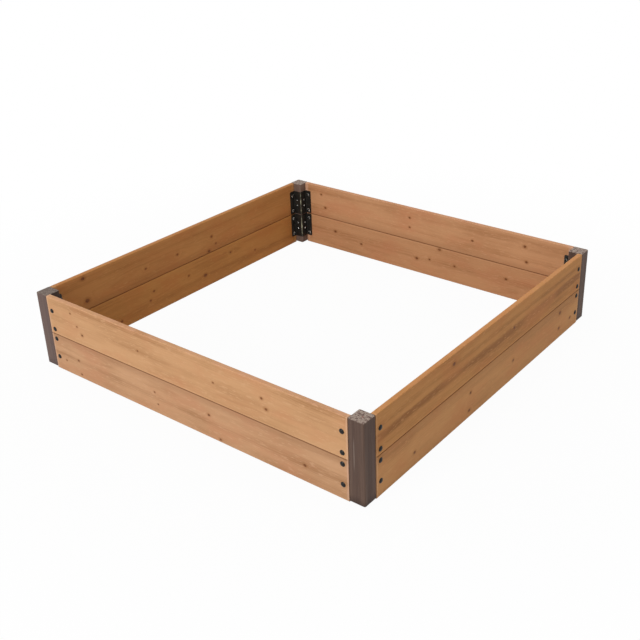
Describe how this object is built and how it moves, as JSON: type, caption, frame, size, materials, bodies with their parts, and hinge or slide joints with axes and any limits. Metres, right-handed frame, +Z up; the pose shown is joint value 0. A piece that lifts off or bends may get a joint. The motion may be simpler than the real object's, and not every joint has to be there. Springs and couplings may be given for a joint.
{
  "type": "raised garden bed",
  "caption": "Square raised garden bed of stacked wooden boards between stained corner posts, held by stepped steel corner brackets with carriage bolts, open at top and bottom.",
  "frame": {"origin": "middle of the bed's plan, on the surface that the lower boards stand on", "axes": "+Z up, +X along the front side to the right, +Y from the front side to the back"},
  "size_m": [1.3306, 1.3306, 0.265],
  "materials": {
    "fir_board": "planed softwood with an oil finish, visible grain and knots",
    "stained_post": "dark brown stained softwood with lighter end grain on top",
    "black_bracket": "black powder coat, semi-gloss",
    "black_fastener": "black coated steel, semi-gloss"
  },
  "bodies": {
    "root": {"back_carriage_bolts": "black_fastener", "back_hex_nuts": "black_fastener", "back_left_lower_bracket": "black_bracket", "back_left_post": "stained_post", "back_left_upper_bracket": "black_bracket", "back_lower_board": "fir_board", "back_post_screws": "black_fastener", "back_right_lower_bracket": "black_bracket", "back_right_post": "stained_post", "back_right_upper_bracket": "black_bracket", "back_upper_board": "fir_board", "front_carriage_bolts": "black_fastener", "front_hex_nuts": "black_fastener", "front_left_lower_bracket": "black_bracket", "front_left_post": "stained_post", "front_left_upper_bracket": "black_bracket", "front_lower_board": "fir_board", "front_post_screws": "black_fastener", "front_right_lower_bracket": "black_bracket", "front_right_post": "stained_post", "front_right_upper_bracket": "black_bracket", "front_upper_board": "fir_board", "left_carriage_bolts": "black_fastener", "left_hex_nuts": "black_fastener", "left_lower_board": "fir_board", "left_post_screws": "black_fastener", "left_upper_board": "fir_board", "right_carriage_bolts": "black_fastener", "right_hex_nuts": "black_fastener", "right_lower_board": "fir_board", "right_post_screws": "black_fastener", "right_upper_board": "fir_board"}
  },
  "joints": []
}
